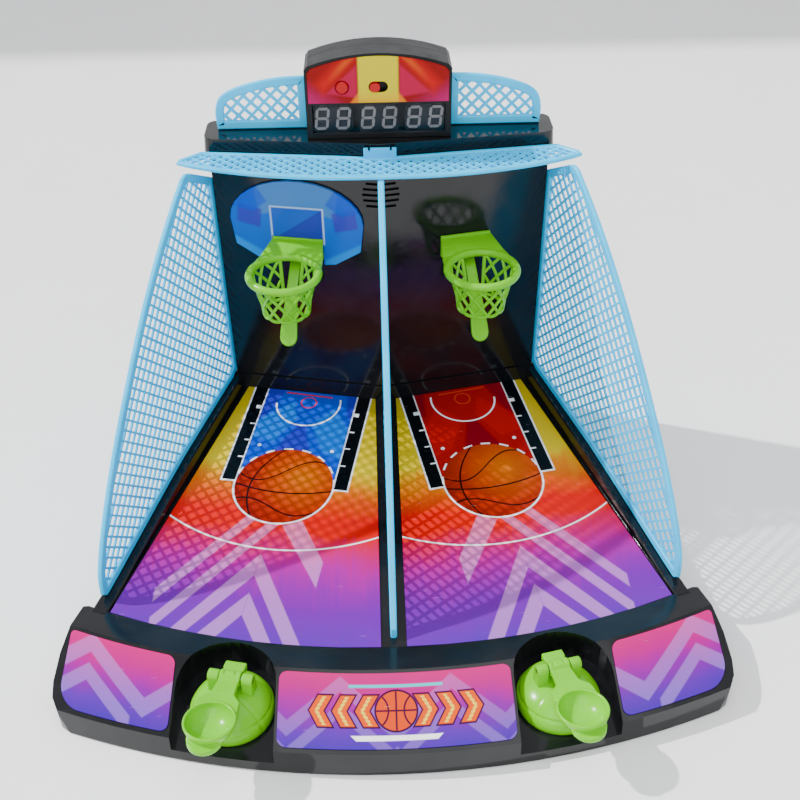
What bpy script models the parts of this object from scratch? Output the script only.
"""Tabletop arcade basketball game for two players.

A curved front console carries two swivelling ball launchers.  Two sloped courts
climb from it to a glossy tower with two hoops, a canopy net, side nets, a centre
net and an electronic scoreboard.  Every separate piece of the product is its own
object.

All dimensions are in millimetres.  X runs to the player's right, Y away from the
player and Z up.  Y is counted from the front edge of the console, and the root
empty moves the whole product so that its origin is the centre of its footprint.
"""
import math

import bmesh
import bpy
from mathutils import Matrix, Vector

MM = 0.001
GAP = 0.3                   # clearance between pieces that touch

# Overall footprint
FRONT_Y = -6.3              # tip of the launchers' finger tabs
BACK_Y = 341.5              # rear face of the base
MID_Y = (FRONT_Y + BACK_Y) / 2

# Console: rings around a centre behind the product, seen from above
ARC_Y = 539.6               # centre of all the console's arcs
EDGE_R = 539.6              # bottom front edge
RIDGE_R = 537.3             # top of the front skirt
CREASE_R = 488.0            # rear edge of the sloped label face
COURT_R = 470.6             # front edge of the courts
EDGE_Z = 1.0
RIDGE_Z = 16.6
CREASE_Z = 27.1
COURT_Z = 25.8
ARC_SPAN = 26.0             # half angle that the console's rings are turned through
END_X = 190.0               # where the front edge turns into the rounded ends
WALL = 2.0                  # wall of every moulded shell
PLATE_LOW = 1.5             # plate that closes the base from below
PLATE_HIGH = 3.0

# Courts: two planes that climb to the rear
COURT_RISE = 0.0882         # height gained per millimetre towards the rear
COURT_FALL = 0.0178         # height lost per millimetre away from the middle
COURT_INNER_X = 7.5
COURT_FRONT_Y = 69.0
COURT_CORNER_X = 175.5
COURT_REAR_X = 104.4
PANEL_THICK = 1.0

# Launchers
POCKET_X = 98.5
POCKET_HALF = 29.5
POCKET_Y = 47.0             # centre of the pocket's round end
POCKET_FLOOR = 7.5
TURRET_X = 95.3
TURRET_Y = 41.5
TURRET_R = 25.0
TURRET_YAW = 12.8           # both launchers point outwards at rest
PIVOT_BACK = 4.6            # arm pin behind the turret's axis
PIVOT_Z = 32.0
ARM_PITCH = 8.8             # the bowl stands higher than the pin
BOWL_REACH = 35.5
BOWL_R = 14.7
TAB_REACH = 53.17
TAB_R = 10.2
HEAD_HALF = 6.4             # clears the ears beside it as the arm tilts
ARM_PIN_R = 1.5
SPRING_R = 3.0
SPRING_HALF = 2.2

# Tower
VEE_Y = 287.5               # front of the tower at the middle
VEE_SLOPE = 0.2075          # how far the wall recedes per millimetre sideways
TOWER_X = 112.2
LEDGE_Z = 57.0
TOWER_TOP = 234.0
TOWER_BACK = 338.0
TOWER_WALL = 2.5
LEDGE_LEAD = 1.2            # the base shows this far in front of the tower
GRILLE_Z = 212.5
GRILLE_R = 12.3

# Hoops
HOOP_X = 57.0               # where the bracket meets the wall
HOOP_Z = 171.5
HOOP_REACH = 40.5
HOOP_R = 22.8               # middle of the ring's tube
HOOP_TUBE = 2.7
NET_BOTTOM_R = 14.0
NET_BOTTOM_Z = 142.5
FLANGE_HALF = 17.5

# Header and scoreboard
HEADER_Y = 294.6
HEADER_SLOPE = 0.126
HEADER_X = 115.6
HEADER_LOW = 234.3
HEADER_TOP = 245.0
BOARD_HALF = 46.4
BOARD_FRONT = 305.0
BOARD_SPLIT = 322.0
BOARD_BACK = 335.0
BOARD_SHOULDER = 291.4
BOARD_CROWN = 300.3
LABEL_LOW = 268.8
BUTTON_X = -22.9
BUTTON_Z = 278.9
SWITCH_TRAVEL = 4.4

# Nets
NET_THICK = 3.0
NET_FRAME = 6.0
SIDE_FOOT = (114.4, 311.0)  # rear end of the right side net, seen from above
SIDE_RUN = (0.3184, -0.9479)
CANOPY_LOW = 234.3
CANOPY_HIGH = 237.0
LATTICE = 44.0              # spacing of the nets' openings across their corners
STRAND = 4.0


# ---------------------------------------------------------------- materials
def make_material(name, colour, roughness, metallic=0.0):
    material = bpy.data.materials.new(name)
    material.use_nodes = True
    shader = material.node_tree.nodes["Principled BSDF"]
    shader.inputs["Base Color"].default_value = (*colour, 1.0)
    shader.inputs["Roughness"].default_value = roughness
    shader.inputs["Metallic"].default_value = metallic
    return material


BLACK = (0.012, 0.013, 0.016)
CYAN = (0.045, 0.52, 0.80)
GREEN = (0.22, 0.70, 0.04)
FINISHES = {
    "gloss_black": (BLACK, 0.12, 0.0),
    "satin_black": ((0.02, 0.02, 0.022), 0.45, 0.0),
    "cyan_plastic": (CYAN, 0.35, 0.0),
    "green_plastic": (GREEN, 0.22, 0.0),
    "red_button": ((0.75, 0.02, 0.015), 0.3, 0.0),
    "court_print": ((0.75, 0.15, 0.25), 0.4, 0.0),
    "console_print": ((0.55, 0.08, 0.45), 0.4, 0.0),
    "board_print": ((0.8, 0.3, 0.05), 0.4, 0.0),
    "blue_print": ((0.06, 0.14, 0.65), 0.35, 0.0),
    "smoked_window": ((0.015, 0.03, 0.05), 0.06, 0.0),
    "digit_grey": ((0.3, 0.3, 0.32), 0.5, 0.0),
    "circuit_green": ((0.02, 0.16, 0.06), 0.5, 0.0),
    "rubber": ((0.03, 0.03, 0.03), 0.9, 0.0),
    "steel": ((0.62, 0.62, 0.64), 0.3, 1.0),
    "battery_wrap": ((0.02, 0.05, 0.25), 0.35, 0.0),
}


# ---------------------------------------------------------------- mesh tools
FUSED = {"solver": "MANIFOLD"}      # for solids whose faces lie in one plane where they meet


def new_piece(name, vertices, faces, finish, sharp_deg=35.0):
    """Make an object from millimetre vertices, with its faces pointing out."""
    mesh = bpy.data.meshes.new(name)
    mesh.from_pydata([tuple(v) for v in vertices], [], faces)
    shell = bmesh.new()
    shell.from_mesh(mesh)
    bmesh.ops.remove_doubles(shell, verts=shell.verts, dist=0.005)
    bmesh.ops.recalc_face_normals(shell, faces=shell.faces)
    shell.to_mesh(mesh)
    shell.free()
    mesh.shade_smooth()
    mesh.set_sharp_from_angle(angle=math.radians(sharp_deg))
    mesh.materials.append(materials[finish])
    piece = bpy.data.objects.new(name, mesh)
    bpy.context.scene.collection.objects.link(piece)
    return piece


def height_at(height, point):
    return height(point[0], point[1]) if callable(height) else height


def prism(name, outline, low, high, finish, top_outline=None):
    """Stand an outline up between two heights, which may be functions of x and y."""
    top = top_outline or outline
    count = len(outline)
    vertices = [(p[0], p[1], height_at(low, p)) for p in outline]
    vertices += [(p[0], p[1], height_at(high, p)) for p in top]
    faces = [tuple(range(count))[::-1], tuple(range(count, 2 * count))]
    for i in range(count):
        j = (i + 1) % count
        faces.append((i, j, count + j, count + i))
    return new_piece(name, vertices, faces, finish)


def box(name, corner_a, corner_b, finish):
    outline = rectangle(corner_a[0], corner_a[1], corner_b[0], corner_b[1])
    return prism(name, outline, corner_a[2], corner_b[2], finish)


def turned(name, profile, steps, finish, closed=False):
    """Turn an (r, z) profile about Z.  An open profile starts and ends on the axis."""
    vertices = []
    rings = []
    for r, z in profile:
        if r < 1e-6:
            rings.append([len(vertices)] * steps)
            vertices.append((0.0, 0.0, z))
            continue
        rings.append(list(range(len(vertices), len(vertices) + steps)))
        for i in range(steps):
            a = 2 * math.pi * i / steps
            vertices.append((r * math.cos(a), r * math.sin(a), z))
    pairs = list(zip(rings, rings[1:]))
    if closed:
        pairs.append((rings[-1], rings[0]))
    faces = []
    for low, high in pairs:
        for i in range(steps):
            j = (i + 1) % steps
            corners = [low[i], low[j], high[j], high[i]]
            faces.append(tuple(dict.fromkeys(corners)))
    return new_piece(name, vertices, faces, finish)


def sector(name, profile, half_span, steps, finish):
    """Turn an (r, z) section through an arc about the console's centre."""
    count = len(profile)
    vertices = []
    for i in range(steps + 1):
        a = math.radians(-90 - half_span + 2 * half_span * i / steps)
        vertices += [(r * math.cos(a), ARC_Y + r * math.sin(a), z) for r, z in profile]
    faces = [tuple(range(count)), tuple(range(steps * count, (steps + 1) * count))[::-1]]
    for i in range(steps):
        for k in range(count):
            a = i * count + k
            b = i * count + (k + 1) % count
            faces.append((a, b, b + count, a + count))
    return new_piece(name, vertices, faces, finish)


def pierced(name, outline, holes, thickness, finish):
    """Flat plate in local XY, centred on its thickness, with openings."""
    sheet = bmesh.new()
    for loop in [outline] + holes:
        corners = [sheet.verts.new((p[0], p[1], -thickness / 2)) for p in loop]
        for a, b in zip(corners, corners[1:] + corners[:1]):
            sheet.edges.new((a, b))
    bmesh.ops.triangle_fill(sheet, use_beauty=True, edges=sheet.edges[:], normal=(0, 0, 1))
    grown = bmesh.ops.extrude_face_region(sheet, geom=sheet.faces[:])["geom"]
    raised = [g for g in grown if isinstance(g, bmesh.types.BMVert)]
    bmesh.ops.translate(sheet, verts=raised, vec=(0, 0, thickness))
    bmesh.ops.recalc_face_normals(sheet, faces=sheet.faces)
    mesh = bpy.data.meshes.new(name)
    sheet.to_mesh(mesh)
    sheet.free()
    mesh.materials.append(materials[finish])
    piece = bpy.data.objects.new(name, mesh)
    bpy.context.scene.collection.objects.link(piece)
    return piece


def split_bent_faces(mesh):
    """Triangulate the faces whose corners don't lie in one plane."""
    work = bmesh.new()
    work.from_mesh(mesh)
    bent = []
    for face in work.faces:
        middle = face.calc_center_median()
        if any(abs((v.co - middle).dot(face.normal)) > 1e-4 for v in face.verts):
            bent.append(face)
    bmesh.ops.triangulate(work, faces=bent)
    work.to_mesh(mesh)
    work.free()


def combine(piece, tool, operation, solver="EXACT"):
    """Join, cut or intersect a piece with a tool, which is used up."""
    split_bent_faces(piece.data)
    split_bent_faces(tool.data)
    modifier = piece.modifiers.new(operation.lower(), "BOOLEAN")
    modifier.operation = operation
    modifier.solver = solver
    modifier.object = tool
    bpy.context.view_layer.update()
    graph = bpy.context.evaluated_depsgraph_get()
    mesh = bpy.data.meshes.new_from_object(piece.evaluated_get(graph))
    piece.modifiers.clear()
    mesh.shade_smooth()
    mesh.set_sharp_from_angle(angle=math.radians(35))
    piece.data = mesh
    bpy.data.objects.remove(tool)
    return piece


def join(piece, *tools, solver="EXACT"):
    for tool in tools:
        combine(piece, tool, "UNION", solver)
    return piece


def cut(piece, *tools, solver="EXACT"):
    for tool in tools:
        combine(piece, tool, "DIFFERENCE", solver)
    return piece


def move(piece, x=0.0, y=0.0, z=0.0):
    """Shift a piece's mesh, in millimetres, without moving its origin."""
    piece.data.transform(Matrix.Translation((x, y, z)))
    return piece


def turn(piece, degrees, axis):
    piece.data.transform(Matrix.Rotation(math.radians(degrees), 4, axis))
    return piece


def lay(piece, origin, across, up):
    """Carry a plate from local XY into the plane of two directions."""
    u = Vector(across).normalized()
    v = Vector(up).normalized()
    w = u.cross(v)
    frame = Matrix((u, v, w)).transposed().to_4x4()
    frame.translation = Vector(origin)
    piece.data.transform(frame)
    return piece


def twin(piece, name):
    """Mirror image of a piece across the middle plane."""
    mesh = piece.data.copy()
    mesh.transform(Matrix.Scale(-1, 4, (1, 0, 0)))
    mesh.flip_normals()
    other = bpy.data.objects.new(name, mesh)
    other.location = (-piece.location.x, piece.location.y, piece.location.z)
    other.rotation_euler = (piece.rotation_euler.x, -piece.rotation_euler.y,
                            -piece.rotation_euler.z)
    bpy.context.scene.collection.objects.link(other)
    return other


def hang(piece, parent):
    """Parent a piece and keep the location it was given in the parent's frame."""
    piece.parent = parent
    return piece


# ---------------------------------------------------------------- outlines
def rectangle(x0, y0, x1, y1):
    return [(x0, y0), (x1, y0), (x1, y1), (x0, y1)]


def arc(cx, cy, radius, start, end, steps):
    points = []
    for i in range(steps + 1):
        a = math.radians(start + (end - start) * i / steps)
        points.append((cx + radius * math.cos(a), cy + radius * math.sin(a)))
    return points


def rounded(x0, y0, x1, y1, radius, steps=3):
    points = []
    corners = ((x1 - radius, y0 + radius, -90), (x1 - radius, y1 - radius, 0),
               (x0 + radius, y1 - radius, 90), (x0 + radius, y0 + radius, 180))
    for cx, cy, start in corners:
        points += arc(cx, cy, radius, start, start + 90, steps)
    return points


def ring_point(radius, x):
    """Point at x on one of the console's rings, on the player's side."""
    return (x, ARC_Y - math.sqrt(radius * radius - x * x))


def inset(outline, distance):
    """Move every edge of a counter-clockwise outline inwards."""
    count = len(outline)
    points = []
    for i in range(count):
        before = Vector(outline[i - 1])
        here = Vector(outline[i])
        after = Vector(outline[(i + 1) % count])
        a = (here - before).normalized()
        b = (after - here).normalized()
        normal_a = Vector((-a.y, a.x))
        normal_b = Vector((-b.y, b.x))
        bisector = normal_a + normal_b
        points.append(tuple(here + bisector * (distance / (1 + normal_a.dot(normal_b)))))
    return points


def clip(region, diamond):
    """Part of a region inside a convex counter-clockwise diamond."""
    result = list(region)
    for a, b in zip(diamond, diamond[1:] + diamond[:1]):
        edge = (b[0] - a[0], b[1] - a[1])
        fresh = []
        for i, here in enumerate(result):
            last = result[i - 1]
            side_here = edge[0] * (here[1] - a[1]) - edge[1] * (here[0] - a[0])
            side_last = edge[0] * (last[1] - a[1]) - edge[1] * (last[0] - a[0])
            if side_here * side_last < 0:
                t = side_last / (side_last - side_here)
                fresh.append((last[0] + (here[0] - last[0]) * t, last[1] + (here[1] - last[1]) * t))
            if side_here >= 0:
                fresh.append(here)
        result = fresh
        if not result:
            return []
    return result


def area(outline):
    total = 0.0
    for (x0, y0), (x1, y1) in zip(outline, outline[1:] + outline[:1]):
        total += x0 * y1 - x1 * y0
    return total / 2


def tidy_loop(outline, closest=0.4):
    """Drop points that nearly coincide."""
    points = []
    for p in outline:
        if not points or math.dist(points[-1], p) > closest:
            points.append(p)
    if len(points) > 1 and math.dist(points[0], points[-1]) <= closest:
        points.pop()
    return points


def diamonds(region, spacing=LATTICE, strand=STRAND, smallest=40.0):
    """Openings of a diagonal lattice, kept inside a region."""
    half = spacing / 2 - strand / math.sqrt(2)
    xs = [p[0] for p in region]
    ys = [p[1] for p in region]
    step = spacing / 2
    holes = []
    for i in range(math.floor(min(xs) / step), math.ceil(max(xs) / step) + 1):
        for k in range(math.floor(min(ys) / step), math.ceil(max(ys) / step) + 1):
            if (i + k) % 2:
                continue
            cx = i * step
            cy = k * step
            diamond = [(cx + half, cy), (cx, cy + half), (cx - half, cy), (cx, cy - half)]
            hole = tidy_loop(clip(region, diamond))
            if len(hole) > 2 and area(hole) > smallest:
                holes.append(hole)
    return holes


# ---------------------------------------------------------------- surfaces
def court_height(x, y):
    rise = COURT_RISE * (y - COURT_FRONT_Y)
    return COURT_Z + rise - COURT_FALL * (abs(x) - COURT_INNER_X)


def vee(x):
    """Front face of the tower at x."""
    return VEE_Y + VEE_SLOPE * abs(x)


def side_point(s, out=0.0):
    """Point s along the right side net and out from its plane, seen from above."""
    return (SIDE_FOOT[0] + SIDE_RUN[0] * s - SIDE_RUN[1] * out,
            SIDE_FOOT[1] + SIDE_RUN[1] * s + SIDE_RUN[0] * out)


def rail_top(s):
    """Height of the side rail: a wall at the rear that runs out at the console."""
    x, y = side_point(s)
    lift = 11.0 - 1.0 * (s / 110.0) - 9.2 * max(0.0, (s - 90.0) / 118.0) ** 1.15
    return court_height(x, y) + max(lift, 0.6)


def court_outline(slack=0.0):
    """Right court: arc in front, vee at the rear, straight sides."""
    inner = COURT_INNER_X + slack
    corner_x = COURT_CORNER_X - slack
    front = [ring_point(COURT_R - slack, inner + (corner_x - inner) * i / 7) for i in range(8)]
    rear = [(x, vee(x) - LEDGE_LEAD - slack) for x in (COURT_REAR_X, inner)]
    return front + rear


def end_outline():
    """Plan of the console's bottom edge, both ends included."""
    front = [ring_point(EDGE_R, END_X * i / 10) for i in range(-10, 11)]
    corner = [(195.2, 38.5), (199.6, 47.0), (200.9, 57.0), (200.2, 75.0), (197.4, 92.0),
              (193.0, 108.5), (188.8, 109.0)]
    return front + corner + [(-x, y) for x, y in reversed(corner)]


# ---------------------------------------------------------------- base
def outer_console(inward=0.0):
    """Solid console block, or the hollow inside it when inward is set."""
    low = EDGE_Z if inward == 0 else -2.0
    profile = [(EDGE_R - inward, low), (RIDGE_R - inward, RIDGE_Z - inward * 0.8),
               (CREASE_R, CREASE_Z - inward), (COURT_R - inward, COURT_Z - inward),
               (COURT_R - inward, low)]
    block = sector("console_block", profile, ARC_SPAN, 24, "gloss_black")
    ends = prism("console_ends", inset(end_outline(), inward), -5.0, 40.0, "gloss_black")
    return combine(block, ends, "INTERSECT", "MANIFOLD")


def bed_block(inward=0.0):
    """Bed under both courts, leaning out at the sides, or the hollow inside it."""
    drop = PANEL_THICK + GAP + inward
    low = EDGE_Z if inward == 0 else -3.0
    rear = VEE_Y + 20
    front_r = COURT_R + 5.0 - 0.5 * inward
    half = [ring_point(front_r, x) for x in (0.0, 60.0, 115.0, 168.0)]
    foot = half + [side_point(200, 9.0 - inward), side_point(0, 9.0 - inward), (110.0, rear),
                   (0.0, rear)]
    top = half + [side_point(200, 1.0 - inward), side_point(0, 1.0 - inward), (110.0, rear),
                  (0.0, rear)]
    count = len(top)
    vertices = []
    for outline, height in ((foot, lambda x, y: low), (top, lambda x, y: court_height(x, y) - drop)):
        both = outline + [(-x, y) for x, y in outline[1:-1]]
        vertices += [(x, y, height(x, y)) for x, y in both]
    size = 2 * count - 2
    loop = list(range(count)) + list(range(size - 1, count - 1, -1))
    right = [size + i for i in range(count)]
    left = [size] + [size + i for i in range(count, size)] + [size + count - 1]
    faces = [tuple(loop), tuple(right), tuple(left)]
    for a, b in zip(loop, loop[1:] + loop[:1]):
        faces.append((a, b, b + size, a + size))
    return new_piece("bed", vertices, faces, "gloss_black")


def rail(side):
    """Tapering wall along one side of the court, which carries the side net."""
    stations = [-2.0, 28.0, 60.0, 90.0, 115.0, 140.0, 163.0, 184.0, 203.0, 219.0]
    vertices = []
    for s in stations:
        x, y = side_point(s)
        floor = court_height(x, y) - 4.0
        crest = rail_top(s)
        for out, z in ((-7.6, floor), (-6.9, crest - 0.8), (-6.0, crest), (2.4, crest),
                       (3.2, crest - 0.8), (9.0, EDGE_Z + 0.4), (4.0, EDGE_Z + 0.4)):
            px, py = side_point(s, out)
            vertices.append((side * px, py, z))
    count = 7
    last = len(stations) - 1
    faces = [tuple(range(count)), tuple(range(last * count, (last + 1) * count))]
    for i in range(last):
        for k in range(count):
            a = i * count + k
            b = i * count + (k + 1) % count
            faces.append((a, b, b + count, a + count))
    return new_piece("rail", vertices, faces, "gloss_black", 50)


def rear_block(inward=0.0):
    """Deep rear of the base, which the tower stands on."""
    low = EDGE_Z if inward == 0 else -4.0
    half = TOWER_X + 3.4 - inward
    foot_half = half + 6.0
    front_y = VEE_Y - LEDGE_LEAD + inward
    back = BACK_Y - inward
    top = [(0.0, front_y), (half, front_y + VEE_SLOPE * half), (half, back), (-half, back),
           (-half, front_y + VEE_SLOPE * half)]
    foot = [(0.0, front_y), (foot_half, front_y + VEE_SLOPE * half), (foot_half, back),
            (-foot_half, back), (-foot_half, front_y + VEE_SLOPE * half)]
    return prism("rear_block", foot, low, LEDGE_Z - inward, "gloss_black", top)


def pocket_outline(side, grow=0.0):
    half = POCKET_HALF + grow
    outline = [(-half, -20.0), (half, -20.0)] + arc(0, POCKET_Y, half, 0, 180, 16)
    if side < 0:
        outline = [(-x, y) for x, y in reversed(outline)]
    return [(side * POCKET_X + x, y) for x, y in outline]


def tower_tab(side, low, high, grow=0.0):
    """Tab under a side wall of the tower, or the slot it plugs into when grown."""
    tab_x = side * (TOWER_X - TOWER_WALL / 2)
    half = TOWER_WALL / 2 - 0.3 + grow
    return box("tab", (tab_x - half, 316.0 - grow, low), (tab_x + half, 328.0 + grow, high),
               "gloss_black")


def base_shell():
    """Console, beds, rails and tower ledge moulded as one hollow shell, open below."""
    shell = outer_console()
    join(shell, bed_block(), rail(1), rail(-1), rear_block(), **FUSED)
    hollow = outer_console(WALL)
    join(hollow, bed_block(WALL), rear_block(WALL), **FUSED)
    for side in (1, -1):
        cut(hollow, prism("well", pocket_outline(side, WALL), POCKET_FLOOR - WALL, 60.0,
                          "gloss_black"), **FUSED)
    rebate = prism("rebate", inset(bottom_outline(), -GAP), 0.0, PLATE_HIGH + GAP, "gloss_black")
    cut(shell, hollow, rebate, **FUSED)
    for side in (1, -1):
        pocket = prism("pocket", pocket_outline(side), POCKET_FLOOR, 60.0, "gloss_black")
        bore = turned("bore", [(0, 0), (5.4, 0), (5.4, 15), (0, 15)], 16, "gloss_black")
        move(bore, side * TURRET_X, TURRET_Y)
        slot = tower_tab(side, LEDGE_Z - 8, LEDGE_Z + 5, GAP)
        cut(shell, pocket, bore, slot, **FUSED)
    shell.name = "base_shell"
    return shell


def bottom_outline():
    """Plan of the plate that closes the base from below."""
    front = [ring_point(EDGE_R - 3.0, -186 + 372 * i / 24) for i in range(25)]
    right = [(192.0, 42.0), (196.4, 52.0), (197.2, 62.0), (196.4, 76.0), (191.5, 100.0),
             (186.0, 106.5), side_point(190, 5.4), side_point(8, 5.4), (116.0, 316.0), (116.0, 338.6)]
    return front + right + [(-x, y) for x, y in reversed(right)]


BATTERY_BAY = (-29.5, 283.0, 29.5, 336.0)
BATTERY_PITCH = 14.6


def bottom_plate():
    plate = prism("base_bottom_plate", bottom_outline(), PLATE_LOW, PLATE_HIGH, "satin_black")
    x0, y0, x1, y1 = BATTERY_BAY
    return cut(plate, box("hatch", (x0, y0, 0), (x1, y1, 5), "satin_black"))


def feet():
    for name, x, y in (("rubber_foot_front_left", -150.0, 40.0),
                       ("rubber_foot_front_right", 150.0, 40.0),
                       ("rubber_foot_rear_left", -100.0, 322.0),
                       ("rubber_foot_rear_right", 100.0, 322.0)):
        foot = turned(name, [(0, 0), (6.2, 0), (7.0, 0.5), (7.0, 1.2), (0, 1.2)], 16, "rubber")
        yield move(foot, x, y)


def batteries():
    x0, y0, x1, y1 = BATTERY_BAY
    tray = box("battery_box", (x0, y0, 3.3), (x1, y1, 22.0), "satin_black")
    cut(tray, box("bay", (x0 + 1.6, y0 + 1.6, 0), (x1 - 1.6, y1 - 1.6, 20.4), "satin_black"))
    post = turned("post", [(1.8, 3.3), (2.9, 3.3), (2.9, 21.0), (1.8, 21.0)], 12, "satin_black",
                  closed=True)
    yield join(tray, move(post, 0, y0 + 4.2))
    door = box("battery_door", (x0 + GAP, y0 + GAP, PLATE_LOW), (x1 - GAP, y1 - GAP, PLATE_HIGH),
               "satin_black")
    bore = turned("bore", [(0, -5), (1.9, -5), (1.9, 9), (0, 9)], 12, "satin_black")
    cut(door, move(bore, 0, y0 + 4.2))
    yield door
    screw = turned("battery_door_screw", [(0, 0.6), (3.0, 0.6), (3.0, 1.2), (1.5, 1.2), (1.5, 3.0),
                                          (1.2, 8.0), (0, 8.6)], 12, "steel")
    yield move(screw, 0, y0 + 4.2)
    cell = [(0, -25.2), (7.1, -25.2), (7.1, 24.2), (2.7, 24.4), (2.7, 25.2), (0, 25.2)]
    for number in (1, 2, 3):
        battery = turned("battery_%d" % number, cell, 16, "battery_wrap")
        turn(battery, 90 if number % 2 else -90, "Y")
        yield move(battery, 0, y1 - 9.2 - BATTERY_PITCH * (number - 1), 12.2)


def court_panel():
    low = lambda x, y: court_height(x, y) - PANEL_THICK
    return prism("court_panel_right", court_outline(GAP), low, court_height, "court_print")


def console_label(name, x0, x1, front_r, rear_r):
    """Printed plate on the console's slope, with rounded corners."""
    rise = (CREASE_Z - RIDGE_Z) / (RIDGE_R - CREASE_R)
    section = []
    for r, lift in ((545.0, GAP), (545.0, GAP + 0.4), (480.0, GAP + 0.4), (480.0, GAP)):
        section.append((r, CREASE_Z - (r - CREASE_R) * rise + lift))
    steps = 26
    plate = sector(name, section, ARC_SPAN, steps, "console_print")
    corner = 3.5
    front = []
    for i in range(9):
        front.append(ring_point(front_r, x0 + corner + (x1 - x0 - 2 * corner) * i / 8))
    back = []
    for i in range(9):
        back.append(ring_point(rear_r, x1 - corner - (x1 - x0 - 2 * corner) * i / 8))
    low_right = ring_point(front_r - corner, x1)
    high_right = ring_point(rear_r + corner, x1)
    low_left = ring_point(front_r - corner, x0)
    high_left = ring_point(rear_r + corner, x0)
    outline = front + [low_right, high_right] + back + [high_left, low_left]
    return combine(plate, prism("label_edge", outline, -10, 60, "console_print"), "INTERSECT")


def base_pieces():
    yield base_shell()
    yield bottom_plate()
    yield from feet()
    yield from batteries()
    panel = court_panel()
    yield panel
    yield twin(panel, "court_panel_left")
    yield console_label("console_label_centre", -67.3, 67.3, 534.6, 490.6)
    label = console_label("console_label_right", 129.4, 195.6, 534.6, 490.6)
    yield label
    yield twin(label, "console_label_left")


# ---------------------------------------------------------------- tower
def hoop_frame(distance, side=1):
    """Point in front of the wall on the right hoop's centre line."""
    length = math.hypot(1, VEE_SLOPE)
    return (side * (HOOP_X + distance * VEE_SLOPE / length), vee(HOOP_X) - distance / length)


HOOP_YAW = math.degrees(math.atan(VEE_SLOPE))


def tower_front():
    t = TOWER_WALL
    outer = [(0.0, VEE_Y), (TOWER_X, vee(TOWER_X)), (TOWER_X, TOWER_BACK), (TOWER_X - t, TOWER_BACK),
             (TOWER_X - t, vee(TOWER_X) + 2.2), (0.0, VEE_Y + 2.6),
             (-TOWER_X + t, vee(TOWER_X) + 2.2), (-TOWER_X + t, TOWER_BACK), (-TOWER_X, TOWER_BACK),
             (-TOWER_X, vee(TOWER_X))]
    wall = prism("tower_front", outer, LEDGE_Z + GAP, TOWER_TOP, "gloss_black")
    shelf = [(0.0, VEE_Y + 1), (TOWER_X - 1, vee(TOWER_X) + 1), (TOWER_X - 1, 316.0),
             (-TOWER_X + 1, 316.0), (-TOWER_X + 1, vee(TOWER_X) + 1)]
    join(wall, prism("shelf", shelf, TOWER_TOP - 2.2, TOWER_TOP, "gloss_black"))
    for side in (1, -1):
        join(wall, tower_tab(side, LEDGE_Z - 6, LEDGE_Z + 4))
    for row in range(-2, 3):
        z = GRILLE_Z + row * 4.0
        half = math.sqrt(GRILLE_R ** 2 - (row * 4.0) ** 2 * 0.85)
        cut(wall, box("slit", (-half, VEE_Y - 4, z - 0.9), (half, VEE_Y + 12, z + 0.9),
                      "gloss_black"))
    for side in (1, -1):
        window = box("window", (-5.5, -6, HOOP_Z - 16), (5.5, 9, HOOP_Z - 0.5), "gloss_black")
        turn(window, side * HOOP_YAW, "Z")
        cut(wall, move(window, side * HOOP_X, vee(HOOP_X)))
    return wall


def tower_rear():
    half = TOWER_X - TOWER_WALL - GAP
    cover = box("tower_rear_cover", (-TOWER_X, TOWER_BACK + GAP, LEDGE_Z + GAP),
                (TOWER_X, TOWER_BACK + 2.5, TOWER_TOP), "gloss_black")
    frame = box("lip", (-half, TOWER_BACK - 4, LEDGE_Z + 14), (half, TOWER_BACK + 1, TOWER_TOP - 4),
                "gloss_black")
    cut(frame, box("inside", (-half + 2, TOWER_BACK - 6, LEDGE_Z + 16),
                   (half - 2, TOWER_BACK + 3, TOWER_TOP - 6), "gloss_black"))
    join(cover, frame)
    for row in range(5):
        z = 120.0 + row * 8.0
        cut(cover, box("vent", (-30, TOWER_BACK - 1, z), (30, TOWER_BACK + 6, z + 2.4),
                       "gloss_black"))
    return cover


def header_outline(inward=0.0):
    """Plan of the header: a shallow vee in front with rounded ends."""
    half = HEADER_X - inward
    radius = 7.0 - inward * 0.6
    front = HEADER_Y + inward
    shoulder = front + HEADER_SLOPE * half
    back = BACK_Y - 0.7 - inward
    right = [(half - radius, shoulder - HEADER_SLOPE * radius)]
    right += arc(half - radius, shoulder + radius, radius, -60, 0, 3)
    right += arc(half - radius, back - radius, radius, 0, 90, 3)
    return [(0.0, front)] + right + [(-x, y) for x, y in reversed(right)]


def header():
    shell = prism("header_shell", header_outline(), HEADER_LOW, HEADER_TOP, "gloss_black",
                  inset(header_outline(), 0.8))
    hollow = prism("hollow", header_outline(WALL), HEADER_LOW - 5, HEADER_TOP - WALL, "gloss_black")
    return cut(shell, hollow)


def speaker():
    cone = [(0, 3.0), (9.0, 3.0), (13.0, 0.0), (13.8, 0.0), (13.8, 2.4), (10.0, 4.4), (8.0, 9.0),
            (0, 9.0)]
    piece = turned("speaker", cone[::-1], 20, "satin_black")
    turn(piece, -90, "X")
    return move(piece, 0, VEE_Y + 7.0, GRILLE_Z)


def score_switch():
    piece = box("score_switch_right", (-6.4, 12.0, HOOP_Z - 15), (6.4, 18.0, HOOP_Z - 8),
                "satin_black")
    lever = box("blade", (-2.0, 8.0, HOOP_Z - 8.6), (2.0, 17.0, HOOP_Z - 7.2), "steel")
    join(piece, lever)
    turn(piece, HOOP_YAW, "Z")
    return move(piece, HOOP_X, vee(HOOP_X))


def tower_pieces():
    yield tower_front()
    yield tower_rear()
    yield header()
    yield speaker()
    board = box("control_board", (-36, 325.0, 80.0), (36, 326.6, 150.0), "circuit_green")
    for x in (-20.0, 14.0):
        join(board, box("chip", (x, 322.0, 105.0), (x + 12, 325.4, 117.0), "satin_black"))
    yield board
    switch = score_switch()
    yield switch
    yield twin(switch, "score_switch_left")


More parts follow.
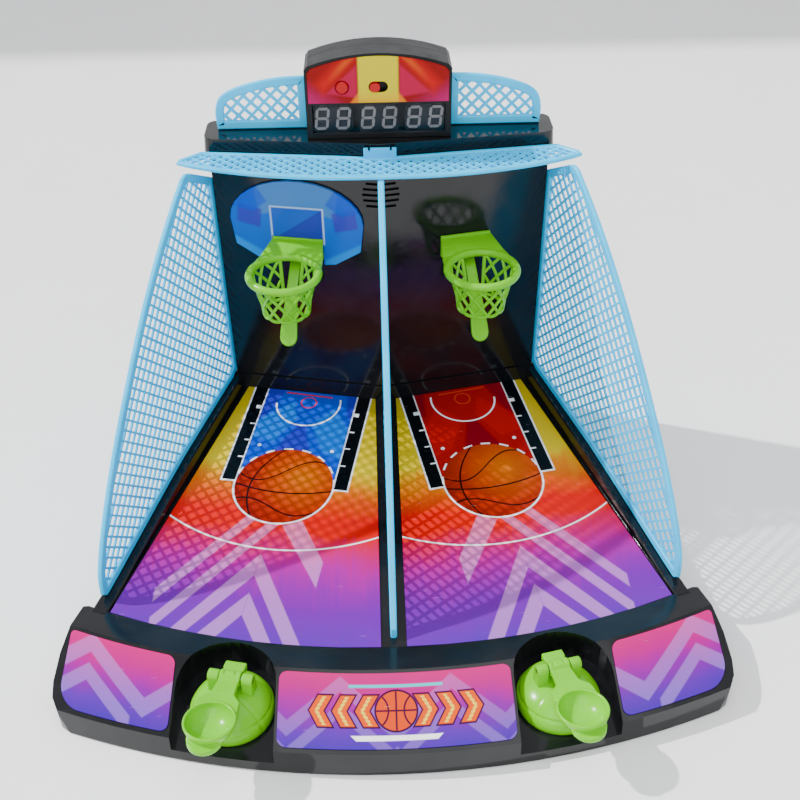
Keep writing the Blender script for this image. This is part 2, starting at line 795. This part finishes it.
# ---------------------------------------------------------------- scoreboard
def board_outline(inward=0.0, floor=None):
    """Front view of the scoreboard, with an arched crown."""
    half = BOARD_HALF - inward
    low = HEADER_TOP + GAP + inward if floor is None else floor
    corner = 3.0
    shoulder = BOARD_SHOULDER - inward
    crown = BOARD_CROWN - inward
    inner = half - 2.2
    rise = crown - shoulder - 1.3
    radius = (inner ** 2 + rise ** 2) / (2 * rise)
    spread = math.degrees(math.asin(inner / radius))
    top = arc(0, crown - radius, radius, 90 - spread, 90 + spread, 12)
    return [(-half, low), (half, low), (half, shoulder - corner + 1.5)] + top + [
        (-half, shoulder - corner + 1.5)]


def upright(name, outline, y0, y1, finish):
    """Prism that runs along Y from an outline in X and Z."""
    piece = prism(name, outline, y0, y1, finish)
    piece.data.transform(Matrix(((1, 0, 0, 0), (0, 0, 1, 0), (0, 1, 0, 0), (0, 0, 0, 1))))
    piece.data.flip_normals()
    return piece


def label_outline(inward):
    return board_outline(inward, LABEL_LOW)


SWITCH_SLOT = (-6.2, BUTTON_Z - 3.5, 6.2, BUTTON_Z + 3.5)


def scoreboard_pieces():
    face_y = BOARD_FRONT + 1.0
    front = upright("scoreboard_front", board_outline(), BOARD_FRONT, BOARD_SPLIT, "gloss_black")
    cut(front, upright("hollow", board_outline(WALL), face_y + 2.0, BOARD_SPLIT + 5, "gloss_black"))
    cut(front, upright("recess", label_outline(1.5), BOARD_FRONT - 5, face_y, "gloss_black"))
    window = (-42.6, HEADER_TOP + 3.3, 42.6, 267.4)
    cut(front, upright("window_hole", rectangle(*window), BOARD_FRONT - 5, face_y + 8,
                       "gloss_black"))
    bore = turned("bore", [(0, -9), (4.5, -9), (4.5, 9), (0, 9)], 20, "gloss_black")
    turn(bore, 90, "X")
    cut(front, move(bore, BUTTON_X, face_y, BUTTON_Z))
    cut(front, upright("slot", rounded(*SWITCH_SLOT, 3.4), BOARD_FRONT - 5, face_y + 8,
                       "gloss_black"))
    yield front

    rear = upright("scoreboard_rear", board_outline(), BOARD_SPLIT + GAP, BOARD_BACK, "gloss_black")
    cut(rear, upright("hollow", board_outline(WALL), BOARD_SPLIT - 5, BOARD_BACK - WALL,
                      "gloss_black"))
    yield rear

    label = upright("scoreboard_label", label_outline(1.8), BOARD_FRONT + 0.1, face_y - GAP,
                    "board_print")
    bore = turned("bore", [(0, -9), (4.5, -9), (4.5, 9), (0, 9)], 20, "board_print")
    turn(bore, 90, "X")
    cut(label, move(bore, BUTTON_X, face_y, BUTTON_Z))
    cut(label, upright("slot", rounded(*SWITCH_SLOT, 3.4), BOARD_FRONT - 5, face_y + 8,
                       "board_print"))
    yield label

    x0, z0, x1, z1 = window
    yield upright("display_window", rectangle(x0 + GAP, z0 + GAP, x1 - GAP, z1 - GAP),
                  BOARD_FRONT + 0.3, BOARD_FRONT + 2.0, "smoked_window")

    for name, x in (("digits_home", -29.6), ("digits_clock", 0.0), ("digits_guest", 29.6)):
        yield box(name, (x - 12.6, BOARD_FRONT + 2.4, HEADER_TOP + 3.8),
                  (x + 12.6, BOARD_FRONT + 10.4, HEADER_TOP + 22.0), "digit_grey")
    board = box("display_board", (-42.5, BOARD_FRONT + 10.8, HEADER_TOP + 2.8),
                (42.5, BOARD_FRONT + 12.4, 286.0), "circuit_green")
    contact = box("contact", (BUTTON_X - 3, BOARD_FRONT + 9.9, BUTTON_Z - 3),
                  (BUTTON_X + 3, BOARD_FRONT + 11.6, BUTTON_Z + 3), "satin_black")
    yield join(board, contact)

    stem = [(0, -7.6), (1.8, -7.6), (1.8, -4.6), (5.6, -4.6), (5.6, -3.4), (4.0, -3.4), (4.0, 1.6),
            (3.2, 2.6), (0, 3.0)]
    button = turned("reset_button", stem, 20, "red_button")
    turn(button, 90, "X")
    button.location = (BUTTON_X, face_y, BUTTON_Z)
    yield button

    body = box("power_switch", (-6.5, BOARD_FRONT + 6.6, BUTTON_Z - 3.3),
               (6.5, BOARD_FRONT + 10.5, BUTTON_Z + 3.3), "steel")
    yield body
    knob = upright("power_switch_knob", rounded(-3.3, -2.7, 3.3, 2.7, 2.4), -1.4, 6.2, "red_button")
    knob.location = (-SWITCH_TRAVEL / 2, BOARD_FRONT, BUTTON_Z)
    yield knob


# ---------------------------------------------------------------- nets
def side_net():
    """Kite-shaped net standing on the right rail, curved at its free edge."""
    free_edge = [(209.5, 31.5), (207.5, 46.0), (199.0, 64.0), (185.0, 86.0), (168.0, 109.0),
                 (146.0, 135.0), (120.0, 163.5), (97.0, 186.0), (74.0, 206.0), (52.0, 222.5),
                 (36.0, 233.0), (31.0, 233.9), (26.0, 232.0)]
    foot = [(s, rail_top(s) + GAP) for s in (3.0, 30.0, 60.0, 90.0, 115.0, 140.0, 165.0, 188.0)]
    outline = foot + [(206.0, rail_top(206.0) + GAP)] + free_edge + [(3.0, 219.0)]
    holes = diamonds(inset(outline, NET_FRAME))
    net = pierced("side_net_right", outline, holes, NET_THICK, "cyan_plastic")
    x, y = side_point(0)
    lay(net, (x, y, 0), (SIDE_RUN[0], SIDE_RUN[1], 0), (0, 0, 1))
    return net


def divider_net():
    """Net that stands on edge between the courts."""
    rear = VEE_Y - 1.8
    foot = [(y, court_height(COURT_INNER_X, y) - 0.9) for y in (76.0, 180.0, rear)]
    free_edge = [(264.5, 233.9), (257.0, 230.0), (238.0, 217.0), (214.0, 197.5), (190.0, 175.5),
                 (166.0, 151.0), (143.0, 125.0), (121.0, 97.5), (102.0, 71.5), (86.0, 47.5),
                 (76.0, 33.0)]
    outline = foot + [(rear, 233.9)] + free_edge
    holes = diamonds(inset(outline, NET_FRAME))
    net = pierced("divider_net", outline, holes, 4.0, "cyan_plastic")
    lay(net, (0, 0, 0), (0, 1, 0), (0, 0, 1))
    return net


def canopy_outline():
    rear = lambda x: HEADER_Y - 0.5 + HEADER_SLOPE * x
    right = [(30.0, 265.8), (55.0, 268.6), (80.0, 273.6), (105.0, 281.0), (124.0, 289.0),
             (131.0, 293.2), (130.0, 297.6), (117.0, rear(117.0)), (11.0, rear(11.0))]
    left = [(-x, y) for x, y in reversed(right)]
    return [(0.0, 265.2)] + right + [(0.0, rear(0.0))] + left


def canopy():
    outline = canopy_outline()
    holes = diamonds(inset(outline, 3.5), 24.0, 3.0, 30.0)
    net = pierced("canopy_net", outline, holes, CANOPY_HIGH - CANOPY_LOW, "cyan_plastic")
    move(net, 0, 0, (CANOPY_LOW + CANOPY_HIGH) / 2)
    tab = box("tab", (-10.6, HEADER_Y - 2.6, CANOPY_LOW + 0.5), (10.6, HEADER_Y - 0.6, 243.6),
              "cyan_plastic")
    for x in (-7.0, 7.0):
        cut(tab, box("notch", (x - 0.7, HEADER_Y - 5, 241.6), (x + 0.7, HEADER_Y + 3, 246),
                     "cyan_plastic"))
    return join(net, tab)


def wing():
    """Curved net beside the scoreboard."""
    low = HEADER_TOP + GAP
    outline = [(BOARD_HALF + 0.4, low), (106.4, low), (107.0, 256.0), (104.8, 264.6), (99.6, 269.6),
               (91.0, 273.4), (78.0, 276.9), (63.0, 279.2), (BOARD_HALF + 0.4, 279.8)]
    inner = [(52.4, 251.0), (100.6, 251.0), (101.2, 257.0), (98.4, 262.2), (90.0, 267.0),
             (76.0, 271.0), (63.0, 273.2), (52.4, 273.6)]
    holes = diamonds(inner, 20.0, 2.8, 20.0)
    net = pierced("wing_right", outline, holes, NET_THICK, "cyan_plastic")
    lay(net, (0, 325.0, 0), (1, 0, 0), (0, 0, 1))
    return net


def net_pieces():
    net = side_net()
    yield net
    yield twin(net, "side_net_left")
    yield divider_net()
    yield canopy()
    plate = wing()
    yield plate
    yield twin(plate, "wing_left")


# ---------------------------------------------------------------- hoops
def hoop():
    """Ring, bracket and rigid net, made about the ring's centre with the wall behind."""
    steps = 18
    tube = []
    for i in range(6):
        a = 2 * math.pi * i / 6
        tube.append((HOOP_R + HOOP_TUBE * math.cos(a), HOOP_TUBE * math.sin(a)))
    drop = NET_BOTTOM_Z - HOOP_Z
    skirt = [(HOOP_R + 0.6, -0.5), (HOOP_R - 1.4, -0.5), (18.0, drop * 0.55),
             (NET_BOTTOM_R, drop), (NET_BOTTOM_R + 1.8, drop), (19.9, drop * 0.55)]
    net = turned("hoop_right", skirt, steps, "green_plastic", closed=True)
    for i in range(8):
        punch = prism("punch", [(4.6, 0), (0, 10.0), (-4.6, 0), (0, -10.0)], 8.0, 34.0,
                      "green_plastic")
        turn(punch, 90, "X")
        turn(punch, 45.0 * i + 22.5, "Z")
        cut(net, move(punch, 0, 0, drop / 2), **FUSED)
    cut(net, box("gap", (-8.2, 6.0, drop - 5), (8.2, 34.0, -3.2), "green_plastic"), **FUSED)
    join(net, turned("ring", tube, steps, "green_plastic", closed=True), **FUSED)

    back = HOOP_REACH - 0.4
    bracket = prism("bracket", [(-24.0, 2.5), (24.0, 2.5), (21.7, 20.0), (-21.7, 20.0)], -1.4, 1.6,
                    "green_plastic")
    ramp = prism("ramp", [(-21.6, 19.0), (21.6, 19.0), (FLANGE_HALF, back), (-FLANGE_HALF, back)],
                 lambda x, y: -1.3 + (y - 20.0) * 0.2, lambda x, y: 1.5 + (y - 20.0) * 0.2,
                 "green_plastic")
    bore = turned("bore", [(0, -9), (HOOP_R, -9), (HOOP_R, 9), (0, 9)], 17, "green_plastic")
    cut(join(bracket, ramp, **FUSED), bore, **FUSED)
    join(net, bracket, **FUSED)
    flange = box("flange", (-FLANGE_HALF, back - 2.4, -9.0), (FLANGE_HALF, back, 6.4),
                 "green_plastic")
    cut(flange, box("throat", (-5.6, back - 6, -20.0), (5.6, back + 4, -1.6), "green_plastic"))
    join(net, flange, **FUSED)
    for x in (-7.8, 7.8):
        lug = box("lug", (x - 1.2, back - 8.0, -9.0), (x + 1.2, back - 1.0, 1.5), "green_plastic")
        join(net, lug, **FUSED)
    pin = turned("bore", [(0, -20), (1.3, -20), (1.3, 20), (0, 20)], 12, "green_plastic")
    turn(pin, 90, "Y")
    return cut(net, move(pin, 0, back - 5.2, -5.5), **FUSED)


LEVER_PATH = [(0.0, 0.0), (-8.0, -5.0), (-16.0, -13.0), (-24.0, -23.5), (-31.0, -34.0),
              (-36.5, -43.5)]


def score_lever():
    """Green tongue that a falling ball knocks down, made about its pin."""
    half_widths = [4.4, 3.6, 3.6, 4.4, 5.4, 6.0]
    vertices = []
    for i, (y, z) in enumerate(LEVER_PATH):
        before = LEVER_PATH[max(i - 1, 0)]
        after = LEVER_PATH[min(i + 1, len(LEVER_PATH) - 1)]
        ahead = Vector((after[0] - before[0], after[1] - before[1])).normalized()
        side = Vector((-ahead.y, ahead.x)) * 1.2
        w = half_widths[i]
        for x, k in ((-w, 1), (w, 1), (w, -1), (-w, -1)):
            vertices.append((x, y + side.x * k, z + side.y * k))
    faces = [(0, 1, 2, 3), (20, 21, 22, 23)]
    for i in range(5):
        for k in range(4):
            a = 4 * i + k
            b = 4 * i + (k + 1) % 4
            faces.append((a, b, b + 4, a + 4))
    tongue = new_piece("score_lever_right", vertices, faces, "green_plastic", 40)
    tip = turned("tip", [(0, -1.2), (5.2, -1.2), (6.0, 0), (5.2, 1.2), (0, 1.2)], 16,
                 "green_plastic")
    turn(tip, 55, "X")
    y, z = LEVER_PATH[-1]
    join(tongue, move(tip, 0, y, z))
    hub = turned("hub", [(0, -6.1), (2.4, -6.1), (2.4, 6.1), (0, 6.1)], 14, "green_plastic")
    turn(hub, 90, "Y")
    join(tongue, hub)
    tail = box("tail", (-2.6, 1.0, -1.2), (2.6, 17.5, 1.2), "green_plastic")
    join(tongue, tail)
    bore = turned("bore", [(0, -9), (1.3, -9), (1.3, 9), (0, 9)], 12, "green_plastic")
    turn(bore, 90, "Y")
    return cut(tongue, bore)


def hoop_pieces():
    ring = hoop()
    x, y = hoop_frame(HOOP_REACH)
    ring.location = (x, y, HOOP_Z)
    ring.rotation_euler.z = math.radians(HOOP_YAW)
    yield ring
    yield twin(ring, "hoop_left")
    x, y = hoop_frame(5.6)
    lever = score_lever()
    pin = turned("lever_pin_right", [(0, -9.4), (1.0, -9.4), (1.0, 9.4), (0, 9.4)], 12, "steel")
    turn(pin, 90, "Y")
    for piece, name in ((lever, "score_lever_left"), (pin, "lever_pin_left")):
        piece.location = (x, y, (HOOP_Z - 5.5))
        piece.rotation_euler.z = math.radians(HOOP_YAW)
        yield piece
        yield twin(piece, name)


def backboard_pieces():
    """Fan-shaped board behind the left hoop, notched around its bracket."""
    crown = [(46.0 * math.cos(math.radians(a)), 190.0 + 29.5 * math.sin(math.radians(a)))
             for a in range(0, 181, 12)]
    notch = FLANGE_HALF + 0.5
    top = HOOP_Z + 6.9
    outline = [(-notch, 158.5), (-notch, top), (notch, top), (notch, 158.5), (26.0, 159.5),
               (43.6, 170.5)] + crown + [(-43.6, 170.5), (-26.0, 159.5)]
    outline = outline[::-1]
    board = pierced("backboard_left", outline, [], 2.0, "blue_print")
    length = math.hypot(1, VEE_SLOPE)
    run = (1 / length, -VEE_SLOPE / length, 0)
    x, y = hoop_frame(1.4, -1)
    yield lay(board, (x, y, 0), run, (0, 0, 1))


# ---------------------------------------------------------------- launchers
def turret():
    """Domed carrier that swivels in the console's pocket, made about its axis."""
    base = POCKET_FLOOR + GAP
    height = 17.0
    dome = [(0, base), (TURRET_R - 0.4, base)]
    for i in range(6):
        a = math.radians(15 * i)
        dome.append((TURRET_R * math.cos(a), base + 1.5 + (height - 1.5) * math.sin(a)))
    dome.append((0, base + height))
    body = turned("turret_right", dome, 24, "green_plastic")
    for x in (-10.1, 10.1):
        ear = [(-3.4, base + 6), (6.6, base + 6)] + arc(1.6, PIVOT_Z, 3.6, -10, 190, 8)
        post = prism("ear", ear, -3.3, 3.3, "green_plastic")
        turn(post, 90, "X")
        turn(post, 90, "Z")
        join(body, move(post, x, PIVOT_BACK - 1.6, 0))
    bore = turned("bore", [(0, -30), (1.8, -30), (1.8, 30), (0, 30)], 14, "green_plastic")
    turn(bore, 90, "Y")
    cut(body, move(bore, 0, PIVOT_BACK, PIVOT_Z))
    boss = turned("boss", [(0, 3.4), (5.0, 3.4), (5.0, base + 3), (0, base + 3)], 16,
                  "green_plastic")
    return join(body, boss)


def launch_arm():
    """Spoon with a ball bowl and a finger tab, made about its pin, pointing to -Y."""
    half_plan = [(6.0, -6.0), (6.8, -14.0), (11.6, -19.0), (12.6, -26.0)]
    plan = [(-6.0, 6.0)] + [(-x, y) for x, y in half_plan] + half_plan[::-1] + [(6.0, 6.0)]
    arm = prism("launch_arm_right", plan, -1.9, 1.9, "green_plastic")
    hub = turned("hub", [(0, -6.2), (4.2, -6.2), (4.2, 6.2), (0, 6.2)], 16, "green_plastic")
    head = box("head", (-HEAD_HALF, 5.0, -1.9), (HEAD_HALF, 10.6, 2.6), "green_plastic")
    join(arm, turn(hub, 90, "Y"), head, **FUSED)

    inside = [(0, -6.6), (5.4, -6.0), (9.6, -3.8), (12.2, -0.6), (BOWL_R - 1.6, 2.6)]
    outside = [(0, -8.6), (7.0, -7.9), (11.6, -5.0), (14.0, -1.0), (BOWL_R, 2.4)]
    root_y = -BOWL_REACH - 1
    tab = [(-TAB_R, root_y)] + arc(0, TAB_R - TAB_REACH, TAB_R, 180, 360, 8) + [(TAB_R, root_y)]
    lip = prism("lip", tab, lambda x, y: (y + BOWL_REACH) * 0.16 - 3.6,
                lambda x, y: (y + BOWL_REACH) * 0.16 - 0.6, "green_plastic")
    for spoon_part in (arm, lip):
        scoop = turned("scoop", inside + [(BOWL_R - 1.6, 8), (0, 8)], 16, "green_plastic")
        cut(spoon_part, move(scoop, 0, -BOWL_REACH, 0), **FUSED)
    bowl = turned("bowl", outside + inside[::-1], 16, "green_plastic")
    join(arm, move(bowl, 0, -BOWL_REACH, 0), lip, **FUSED)

    for x in (-3.2, 3.2):
        cut(arm, box("groove", (x - 0.8, -4.7, 3.6), (x + 0.8, 14, 9), "green_plastic"), **FUSED)
    bore = turned("bore", [(0, -30), (1.8, -30), (1.8, 30), (0, 30)], 14, "green_plastic")
    room = SPRING_HALF + GAP
    pocket = turned("pocket", [(0, -room), (SPRING_R + GAP, -room), (SPRING_R + GAP, room),
                               (0, room)], 16, "green_plastic")
    mouth = box("mouth", (-room, -SPRING_R - GAP, -9), (room, SPRING_R + GAP, 0), "green_plastic")
    return cut(arm, turn(bore, 90, "Y"), turn(pocket, 90, "Y"), mouth, **FUSED)


def launcher_pieces():
    carrier = turret()
    carrier.location = (TURRET_X, TURRET_Y, 0)
    carrier.rotation_euler.z = math.radians(TURRET_YAW)
    yield carrier
    left = twin(carrier, "turret_left")
    yield left

    arm = launch_arm()
    arm.rotation_euler.x = math.radians(-ARM_PITCH)
    pin = turned("arm_pin_right", [(0, -13.2), (ARM_PIN_R, -13.2), (ARM_PIN_R, 13.2), (0, 13.2)],
                 14, "steel")
    coil = turned("launch_spring_right", [(ARM_PIN_R + 0.4, -SPRING_HALF), (SPRING_R, -SPRING_HALF),
                                          (SPRING_R, SPRING_HALF),
                                          (ARM_PIN_R + 0.4, SPRING_HALF)], 16, "steel", closed=True)
    for piece in (arm, turn(pin, 90, "Y"), turn(coil, 90, "Y")):
        piece.location = (0, PIVOT_BACK, PIVOT_Z)
        other = twin(piece, piece.name.replace("right", "left"))
        yield hang(piece, carrier)
        yield hang(other, left)

    ring = turned("turret_retainer_right", [(5.3, 3.4), (8.6, 3.4), (8.6, 5.1), (5.3, 5.1)], 16,
                  "steel", closed=True)
    yield move(ring, TURRET_X, TURRET_Y)
    yield twin(ring, "turret_retainer_left")


# ---------------------------------------------------------------- assembly
for old in list(bpy.data.objects):
    bpy.data.objects.remove(old)
materials = {name: make_material(name, *finish) for name, finish in FINISHES.items()}

root = bpy.data.objects.new("basketball_hoop_machine", None)
root.location = (0, -MID_Y * MM, 0)
bpy.context.scene.collection.objects.link(root)

makers = (base_pieces, tower_pieces, scoreboard_pieces, net_pieces, hoop_pieces, backboard_pieces,
          launcher_pieces)
pieces = [piece for make in makers for piece in make()]
for piece in pieces:
    piece.data.transform(Matrix.Scale(MM, 4))
    piece.location *= MM
    if piece.parent is None:
        piece.parent = root
bpy.context.view_layer.update()
